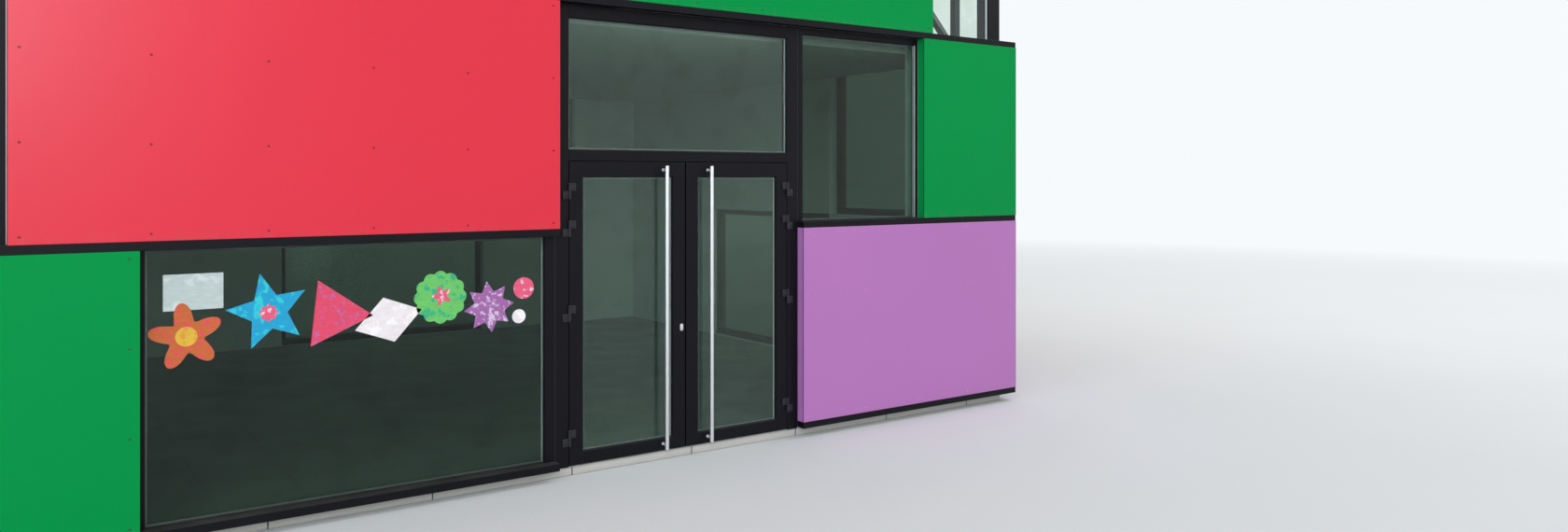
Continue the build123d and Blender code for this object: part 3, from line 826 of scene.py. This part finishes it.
def glaze(name, node, body, frame_depth):
    """Hold panes with beads and seals on both sides, round a spacer painted dark as shade, with a lighter
    upright on the right as a painted highlight.
    """
    beads = bmesh.new()
    seals = bmesh.new()
    spacers = bmesh.new()
    highlight_uprights = bmesh.new()
    for corners in solids(node):
        wall, local = on_wall(corners)
        low, high = span(local)
        place = WALLS[wall]
        edges = (low.x, high.x, low.z, high.z)
        for near, far, inwards in ((FRAME_NEAR + BEAD_START, low.y, 1),
                                   (FRAME_NEAR + frame_depth - BEAD_START, high.y, -1)):
            meeting = far - inwards * SEAL_THICKNESS
            add_ring(beads, *edges, BEAD_WIDTH, near, meeting, BEAD_ROUNDING, place)
            add_ring(seals, *edges, BEAD_WIDTH + SEAL_WIDTH, meeting, far, FINE_ROUNDING, place)
        start = SPACER_START
        near = low.y + SPACER_INSET
        add_ring(spacers, low.x + start, high.x - start, low.z + start, high.z - start, SPACER_WIDTH,
                 near, high.y - SPACER_INSET, 0.0, place)
        margin = start + UPRIGHT_MARGIN
        right = high.x - margin
        left = right - SPACER_WIDTH + 2 * UPRIGHT_MARGIN
        add_block(highlight_uprights, (left, near - UPRIGHT_PROUD, low.z + margin),
                  (right, near + UPRIGHT_MARGIN, high.z - margin), place=place)
    finish_piece(f"{name}_beads", beads, "black_metal", body)
    finish_piece(f"{name}_seals", seals, "black_metal", body, seal_rubber)
    finish_piece(f"{name}_spacers", spacers, "threshold_metal", body, spacer_metal_painted_shade)
    finish_piece(f"{name}_spacer_highlight_uprights", highlight_uprights, "threshold_metal", body, upright_metal_painted_highlight)


glaze("front_windows", "front_window_glass", "building", FRAME_DEPTH)
glaze("side_windows", "side_window_glass", "building", FRAME_DEPTH)
glaze("corner_window", "corner_window_glass", "building", FRAME_DEPTH)
glaze("transom_light", "transom_glass", "building", FRAME_DEPTH)
for hand in ("left", "right"):
    glaze(f"{hand}_door", f"{hand}_door_glass", f"{hand}_door", LEAF_THICKNESS)


# Hinges: knuckles round a pin, with a screwed plate on the frame and another on the leaf

KNUCKLE_RADIUS = 0.011
PIN_RADIUS = 0.005
KNUCKLE_HEIGHT = 0.064
KNUCKLE_ROUNDING = 0.0012
KNUCKLE_CAP_HEIGHT = 0.003
PIN_CLEARANCE = 0.0001
CAP_RISE = 0.001
PLATE_THICKNESS = 0.01
PLATE_ROUNDING = 0.0018
SCREW_PLACE = 0.62
SCREW_RADIUS = 0.0048
SCREW_LENGTH = 0.003
SCREW_PITCH = 0.036
SOCKET_RADIUS = 0.002
leaf_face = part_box("left_door_leaf")[0].y
HANDS = (("left", 1), ("right", -1))


def add_plate(shape, screws, axis_x, far_x, low_z, high_z):
    """Add a hinge plate with two socket screws."""
    face = leaf_face - PLATE_THICKNESS
    low_x, high_x = sorted((axis_x, far_x))
    add_block(shape, (low_x, face, low_z), (high_x, leaf_face, high_z), PLATE_ROUNDING, segments=2)
    screw_x = axis_x + (far_x - axis_x) * SCREW_PLACE
    for pitch in (-SCREW_PITCH, SCREW_PITCH):
        add_rod(screws, (screw_x, face, (low_z + high_z + pitch) / 2), OUTWARDS, SCREW_RADIUS,
                SCREW_LENGTH, 20, FINE_ROUNDING, SOCKET_RADIUS)


for hand, side in HANDS:
    for half, body in (("frame", "building"), ("leaf", f"{hand}_door")):
        on_leaf = half == "leaf"
        plate_to_right = (side == 1) == on_leaf
        halves = bmesh.new()
        screws = bmesh.new()
        for corners in solids(f"{hand}_{half}_hinges"):
            low, high = span(corners)
            axis_x = low.x + KNUCKLE_RADIUS if plate_to_right else high.x - KNUCKLE_RADIUS
            axis_y = low.y + KNUCKLE_RADIUS
            top = high.z if on_leaf else low.z + KNUCKLE_HEIGHT
            cap_z = top + CAP_RISE if on_leaf else low.z - CAP_RISE
            bore = PIN_RADIUS + PIN_CLEARANCE if on_leaf else 0.0
            add_rod(halves, (axis_x, axis_y, (low.z + top) / 2), UP, KNUCKLE_RADIUS, top - low.z, 32,
                    KNUCKLE_ROUNDING, bore)
            add_rod(halves, (axis_x, axis_y, cap_z), UP, KNUCKLE_RADIUS * 0.8, KNUCKLE_CAP_HEIGHT, 32,
                    KNUCKLE_ROUNDING)
            plate_x = axis_x
            if on_leaf:
                plate_x += side * PIN_RADIUS * 1.2
            else:
                add_rod(halves, (axis_x, axis_y, (low.z + high.z) / 2), UP, PIN_RADIUS,
                        high.z - low.z - CAP_RISE, 24, FINE_ROUNDING)
            add_plate(halves, screws, plate_x, high.x if plate_to_right else low.x, low.z, top)
        piece = finish_piece(f"{hand}_{half}_hinges_dressed", halves, "black_metal", body, hinge_grey, True)
        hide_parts(f"{hand}_{half}_hinges")
        finish_piece(f"{hand}_{half}_hinge_screws", screws, "dark_steel", body, smooth=True)


# Pull handles: a long tube with pressed end caps, on two short standoffs with collars

HANDLE_RADIUS = 0.0175
STANDOFF_RADIUS = 0.01
STANDOFF_FROM_END = 0.036
CAP_LENGTH = 0.007
CAP_GAP = 0.0008
CAP_ROUNDING = 0.0022
CORE_SHARE = 0.93
COLLAR_RADIUS = 0.0125
COLLAR_ROUNDING = 0.0012
for hand in ("left", "right"):
    low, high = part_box(f"{hand}_pull_handle")
    axis_x = (low.x + high.x) / 2
    axis_y = low.y + HANDLE_RADIUS
    middle_z = (low.z + high.z) / 2
    length = high.z - low.z
    cap_length = CAP_LENGTH - CAP_GAP
    handle = bmesh.new()
    for rod_z, radius, rod_length, rounding in (
            (middle_z, HANDLE_RADIUS, length - 2 * CAP_LENGTH, FINE_ROUNDING),
            (middle_z, HANDLE_RADIUS * CORE_SHARE, length - CAP_LENGTH, FINE_ROUNDING / 2),
            (low.z + cap_length / 2, HANDLE_RADIUS, cap_length, CAP_ROUNDING),
            (high.z - cap_length / 2, HANDLE_RADIUS, cap_length, CAP_ROUNDING)):
        add_rod(handle, (axis_x, axis_y, rod_z), UP, radius, rod_length, 64, rounding)
    standoffs = bmesh.new()
    for stub_z in (low.z + STANDOFF_FROM_END, high.z - STANDOFF_FROM_END):
        for rod_y, radius, rod_length, rounding in (
                ((axis_y + leaf_face) / 2, STANDOFF_RADIUS, leaf_face - axis_y, FINE_ROUNDING / 2),
                (leaf_face - 0.002, COLLAR_RADIUS, 0.004, COLLAR_ROUNDING),
                (axis_y + HANDLE_RADIUS + 0.001, COLLAR_RADIUS, 0.009, COLLAR_ROUNDING)):
            add_rod(standoffs, (axis_x, rod_y, stub_z), INWARDS, radius, rod_length, 40, rounding)
    door = f"{hand}_door"
    finish_piece(f"{hand}_handle_standoffs", standoffs, "stainless_steel", door, bright_metal, True)
    piece = finish_piece(f"{hand}_pull_handle_dressed", handle, "stainless_steel", door, smooth=True)
    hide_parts(f"{hand}_pull_handle")


# Lock: an upright oblong plate with the key cylinder in it

low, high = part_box("lock_cylinder")
lock_x = (low.x + high.x) / 2
lock_z = (low.z + high.z) / 2
LOCK_HALF_WIDTH = 0.0155
LOCK_HALF_HEIGHT = 0.031
LOCK_THICKNESS = 0.005
LOCK_ROUNDING = 0.0012
CYLINDER_RADIUS = 0.0084
CYLINDER_LENGTH = 0.0095
CYLINDER_HALF_WIDTH = 0.0048
CYLINDER_UP = 0.01
KEYWAY_HALF_WIDTH = 0.0011
lock = bmesh.new()
add_block(lock, (lock_x - LOCK_HALF_WIDTH, leaf_face - LOCK_THICKNESS, lock_z - LOCK_HALF_HEIGHT),
          (lock_x + LOCK_HALF_WIDTH, leaf_face, lock_z + LOCK_HALF_HEIGHT))
deep_edges = [edge for edge in lock.edges if abs(edge.verts[0].co.y - edge.verts[1].co.y) > 0.001]
round_edges(lock, deep_edges, LOCK_HALF_WIDTH * 0.98, 10)
cylinder_y = leaf_face - 0.004
rims = [edge for edge in lock.edges if edge.calc_face_angle(0) > 1.2
        and all(vert.co.y < cylinder_y for vert in edge.verts)]
round_edges(lock, rims, LOCK_ROUNDING, 2)
add_rod(lock, (lock_x, cylinder_y, lock_z + CYLINDER_UP), OUTWARDS, CYLINDER_RADIUS, CYLINDER_LENGTH, 40,
        FINE_ROUNDING)
add_block(lock, (lock_x - CYLINDER_HALF_WIDTH, leaf_face - 0.0078, lock_z - 0.022),
          (lock_x + CYLINDER_HALF_WIDTH, leaf_face, lock_z + 0.006), 2 * FINE_ROUNDING, segments=2)
piece = finish_piece("lock_escutcheon", lock, "stainless_steel", "left_door", smooth=True)
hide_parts("lock_cylinder")
# Painted shade: the key slot and the round hole below it are dark pieces standing in for the shadow inside
# them.
keyway = bmesh.new()
add_block(keyway, (lock_x - KEYWAY_HALF_WIDTH, leaf_face - 0.009, lock_z + 0.005),
          (lock_x + KEYWAY_HALF_WIDTH, leaf_face, lock_z + 0.015), 0.0003)
add_rod(keyway, (lock_x, cylinder_y, lock_z - 0.0155), OUTWARDS, 0.0022, 0.0085, 16, 0.0003)
finish_piece("lock_keyhole_painted_shade", keyway, "black_metal", "left_door", seal_rubber)


# Door leaves: mitre hairlines at the corners, and the seals where the leaves meet

HAIRLINE = 0.0012
HAIRLINE_PROUD = 0.0003
SEAL_REACH = 0.003
MEETING_SEAL_START = 0.026
MEETING_SEAL_END = 0.036
MEETING_SEAL_GAP = 0.004


def add_hairline(shape, start, end, depth, outwards):
    """Add a hair-thin straight line on a flat face between two points given across and up."""
    start, end = Vector(start), Vector(end)
    run = end - start
    middle = (start + end) / 2
    place = (Matrix.Translation((middle.x, depth + outwards * HAIRLINE_PROUD / 2, middle.y))
             @ Matrix.Rotation(-math.atan2(run.y, run.x), 4, "Y")
             @ Matrix.Diagonal((run.length, HAIRLINE_PROUD, HAIRLINE, 1)))
    bmesh.ops.create_cube(shape, size=1, matrix=place)


for hand, side in HANDS:
    leaf_low, leaf_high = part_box(f"{hand}_door_leaf")
    pane_low, pane_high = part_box(f"{hand}_door_glass")
    lines = bmesh.new()
    for depth, outwards in ((leaf_low.y, -1), (leaf_high.y, 1)):
        for outer_x, inner_x in ((leaf_low.x, pane_low.x), (leaf_high.x, pane_high.x)):
            for outer_z, inner_z in ((leaf_low.z, pane_low.z), (leaf_high.z, pane_high.z)):
                add_hairline(lines, (outer_x, outer_z), (inner_x, inner_z), depth, outwards)
    finish_piece(f"{hand}_leaf_mitres", lines, "black_metal", f"{hand}_door", finishes["dark_steel"])
    seal = bmesh.new()
    meeting = leaf_high.x if side == 1 else leaf_low.x
    left, right = sorted((meeting, meeting + side * SEAL_REACH))
    add_block(seal, (left, leaf_low.y + MEETING_SEAL_START, leaf_low.z + MEETING_SEAL_GAP),
              (right, leaf_low.y + MEETING_SEAL_END, leaf_high.z - MEETING_SEAL_GAP), FINE_ROUNDING)
    finish_piece(f"{hand}_meeting_seal", seal, "black_metal", f"{hand}_door", seal_rubber)


# Threshold: fine ribs along its walking face

low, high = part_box("threshold")
ribs = bmesh.new()
RIB_PITCH = 0.012
RIB_WIDTH = 0.004
RIB_HEIGHT = 0.0012
for number in range(int((high.y - low.y - 0.02) / RIB_PITCH)):
    rib_y = low.y + RIB_PITCH + number * RIB_PITCH
    add_block(ribs, (low.x + 0.002, rib_y, high.z - SUNK),
              (high.x - 0.002, rib_y + RIB_WIDTH, high.z + RIB_HEIGHT), 0.0007)
finish_piece("threshold_ribs", ribs, "threshold_metal")


# Frame joints: where the hall window and the right-hand window butt against the door frame

BUTT_JOINT = 0.003
butt_joints = bmesh.new()
door_low, door_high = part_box("door_frame")
for joint_x in (door_low.x, door_high.x):
    add_block(butt_joints, (joint_x - BUTT_JOINT / 2, leaf_face - JOINT_PROUD, BASE_HEIGHT + 0.02),
              (joint_x + BUTT_JOINT / 2, leaf_face + 0.002, door_high.z))
finish_piece("frame_butt_joints", butt_joints, "black_metal", material=seal_rubber)


# Painted highlights: pale strips beside the glass of the right-hand window, and where a window meets the red
# board, standing in for the lit edges there

RED_EDGE = min(front_span(corners)[0].x for corners in solids("front_red_boards")
               if ROW_PITCH < span(corners)[0].z < 2 * ROW_PITCH)
EDGE_STRIP = 0.006
NEAR_ENOUGH = 0.1
strips = bmesh.new()
for corners in solids("front_window_glass"):
    low, high = front_span(corners)
    in_second_row = ROW_PITCH < low.z - BASE_HEIGHT < 2 * ROW_PITCH
    if in_second_row and low.x > door_high.x + CORNER_X - NEAR_ENOUGH:
        add_block(strips, (high.x - EDGE_STRIP - SUNK, FRAME_NEAR + 0.006, low.z + SUNK),
                  (high.x - SUNK, low.y + SUNK, high.z - SUNK), 0.001, WALLS["front"])
    if in_second_row and 0 < RED_EDGE - high.x < NEAR_ENOUGH:
        add_block(strips, (RED_EDGE - EDGE_STRIP - 0.002, FRAME_NEAR - 0.002, low.z),
                  (RED_EDGE - 0.003, FRAME_NEAR + 0.002, high.z + 0.04), 0.001, WALLS["front"])
finish_piece("window_edge_painted_highlights", strips, "threshold_metal", material=upright_metal_painted_highlight)


# Glazed corner: the bright trim beside the post, and the bolted feet of the steelwork behind it

TRIM_WIDTH = 0.011
TRIM_GAP = 0.001
TRIM_PROUD = 0.006
TRIM_REACH = 0.03
post_low, post_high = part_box("corner_post")
trim = bmesh.new()
add_block(trim, (post_low.x - TRIM_GAP - TRIM_WIDTH, post_low.y - TRIM_PROUD, post_low.z + 0.002),
          (post_low.x - TRIM_GAP, post_low.y + TRIM_REACH, post_high.z - 0.002), 0.001)
finish_piece("corner_post_trim", trim, "threshold_metal", material=bright_metal)

column_low, column_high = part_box("steel_column")
column_middle = (column_low + column_high) / 2
FOOT_REACH = 0.085
FOOT_THICKNESS = 0.012
BOLT_REACH = 0.06
BOLT_RADIUS = 0.012
BOLT_HEIGHT = 0.012
BOLT_MIDDLE = 0.016
steelwork = bmesh.new()
bolts = bmesh.new()
for plate_z, outwards in ((column_low.z, 1), (column_high.z, -1)):
    near_z, far_z = sorted((plate_z, plate_z + outwards * FOOT_THICKNESS))
    add_block(steelwork, (column_middle.x - FOOT_REACH, column_middle.y - FOOT_REACH, near_z),
              (column_middle.x + FOOT_REACH, column_middle.y + FOOT_REACH, far_z), 0.002)
    for across in (-BOLT_REACH, BOLT_REACH):
        for along in (-BOLT_REACH, BOLT_REACH):
            bolt = (column_middle.x + across, column_middle.y + along, plate_z + outwards * BOLT_MIDDLE)
            add_rod(bolts, bolt, UP, BOLT_RADIUS, BOLT_HEIGHT, 6, 0.001)
finish_piece("column_plates", steelwork, "dark_steel")
finish_piece("column_bolts", bolts, "stainless_steel")


# Roof: welded laps of the roofing sheet

LAP_PITCH = 1.05
LAP_WIDTH = 0.08
LAP_HEIGHT = 0.003
LAP_FREE_END = 0.3
sheet_low, sheet_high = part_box("roof_covering")
laps = bmesh.new()
lap_x = sheet_low.x + LAP_PITCH
while lap_x < sheet_high.x - LAP_FREE_END:
    add_block(laps, (lap_x - LAP_WIDTH / 2, sheet_low.y + 0.01, sheet_high.z - SUNK),
              (lap_x + LAP_WIDTH / 2, sheet_high.y - 0.01, sheet_high.z + LAP_HEIGHT), 0.0014)
    lap_x += LAP_PITCH
finish_piece("roof_sheet_laps", laps, "roof_membrane")


# Cut-paper shapes and a blank sheet on the hall window

hall_pane = min(solids("front_window_glass"),
                key=lambda corners: (round(span(corners)[0].z, 2), -span(corners)[1].x + span(corners)[0].x))
hall_low = front_span(hall_pane)[0]
PAPER = 0.0006
PAPER_SHAPES = {
    "disc": (48, lambda turn: 1.0),
    "scalloped_disc": (96, lambda turn: 0.9 + 0.1 * abs(math.cos(6 * turn))),
    "star": (10, lambda turn: 1.0 if math.cos(5 * turn) > 0 else 0.45),
    "long_star": (16, lambda turn: 1.0 if math.cos(8 * turn) > 0 else 0.62),
    "flower": (100, lambda turn: 0.74 + 0.26 * math.cos(5 * turn)),
    "daisy": (128, lambda turn: 0.72 + 0.28 * abs(math.cos(4 * turn))),
    "triangle": (3, lambda turn: 1.0),
    "diamond": (4, lambda turn: 1.0 if abs(math.cos(turn)) > 0.5 else 1.45),
}


def cut_paper(name, kind, across, up, radius, turn, paper, layer):
    """Stick a cut-paper shape on the outer face of the hall window."""
    corners, reach = PAPER_SHAPES[kind]
    shape = bmesh.new()
    verts = bmesh.ops.create_circle(shape, cap_ends=True, segments=corners, radius=1)["verts"]
    for vert in verts:
        vert.co *= radius * reach(math.atan2(vert.co.x, vert.co.y))
    bmesh.ops.rotate(shape, verts=verts, matrix=Matrix.Rotation(math.radians(turn), 3, "Z"))
    pull(shape, (0, 0, PAPER))
    depth = hall_low.y - PAPER * layer
    place = WALLS["front"] @ Matrix.Translation((across, depth, up)) @ STAND
    bmesh.ops.transform(shape, matrix=place, verts=shape.verts[:])
    bmesh.ops.recalc_face_normals(shape, faces=shape.faces[:])
    finish_piece(f"paper_{name}", shape, PAPERS[paper][0], material=papers[paper])


# Slot, ground colour, colour of the dabs, and their size
PAPERS = {
    "orange": ("red_laminate", (0.58, 0.13, 0.03), (0.8, 0.05, 0.1), 0.03),
    "cyan": ("green_laminate", (0.004, 0.35, 0.6), (0.02, 0.55, 0.62), 0.06),
    "pink": ("red_laminate", (0.75, 0.06, 0.13), (0.5, 0.12, 0.33), 0.03),
    "white": ("white_plaster", (0.85, 0.78, 0.78), (0.9, 0.86, 0.86), 0.08),
    "grey_white": ("white_plaster", (0.52, 0.6, 0.58), (0.62, 0.7, 0.68), 0.12),
    "green": ("green_laminate", (0.14, 0.55, 0.12), (0.03, 0.4, 0.2), 0.05),
    "purple": ("purple_laminate", (0.36, 0.12, 0.36), (0.62, 0.5, 0.66), 0.03),
    "rose": ("red_laminate", (0.8, 0.1, 0.2), (0.85, 0.55, 0.62), 0.04),
    "yellow": ("red_laminate", (0.75, 0.45, 0.04), (0.7, 0.3, 0.04), 0.04),
}
papers = {name: painted_paper(f"{name}_paper", *look) for name, (slot, *look) in PAPERS.items()}

# Name, kind, place across and up, radius, turn in degrees, paper, and layer from the glass
CUT_PAPERS = [
    ("orange_flower", "flower", 3.86, 1.37, 0.225, 8, "orange", 1),
    ("orange_flower_heart", "disc", 3.86, 1.37, 0.065, 0, "yellow", 2),
    ("cyan_star", "star", 4.36, 1.50, 0.27, 12, "cyan", 0),
    ("cyan_star_dot", "daisy", 4.36, 1.49, 0.06, 0, "rose", 1),
    ("pink_triangle", "triangle", 4.79, 1.45, 0.27, 24, "pink", 0),
    ("white_diamond", "diamond", 5.17, 1.38, 0.17, 14, "white", 0),
    ("green_round", "scalloped_disc", 5.55, 1.52, 0.2, 0, "green", 0),
    ("green_round_dot", "flower", 5.56, 1.53, 0.075, 20, "rose", 1),
    ("purple_star", "long_star", 5.93, 1.42, 0.2, 6, "purple", 0),
    ("rose_disc", "disc", 6.21, 1.55, 0.085, 0, "rose", 0),
    ("white_disc", "disc", 6.17, 1.33, 0.055, 0, "white", 0),
]
for row in CUT_PAPERS:
    cut_paper(*row)

blank_sheet = bmesh.new()
add_block(blank_sheet, (3.725, hall_low.y - PAPER, 1.545), (4.08, hall_low.y, 1.785), place=WALLS["front"])
finish_piece("blank_paper_sheet", blank_sheet, "white_plaster", material=papers["grey_white"])
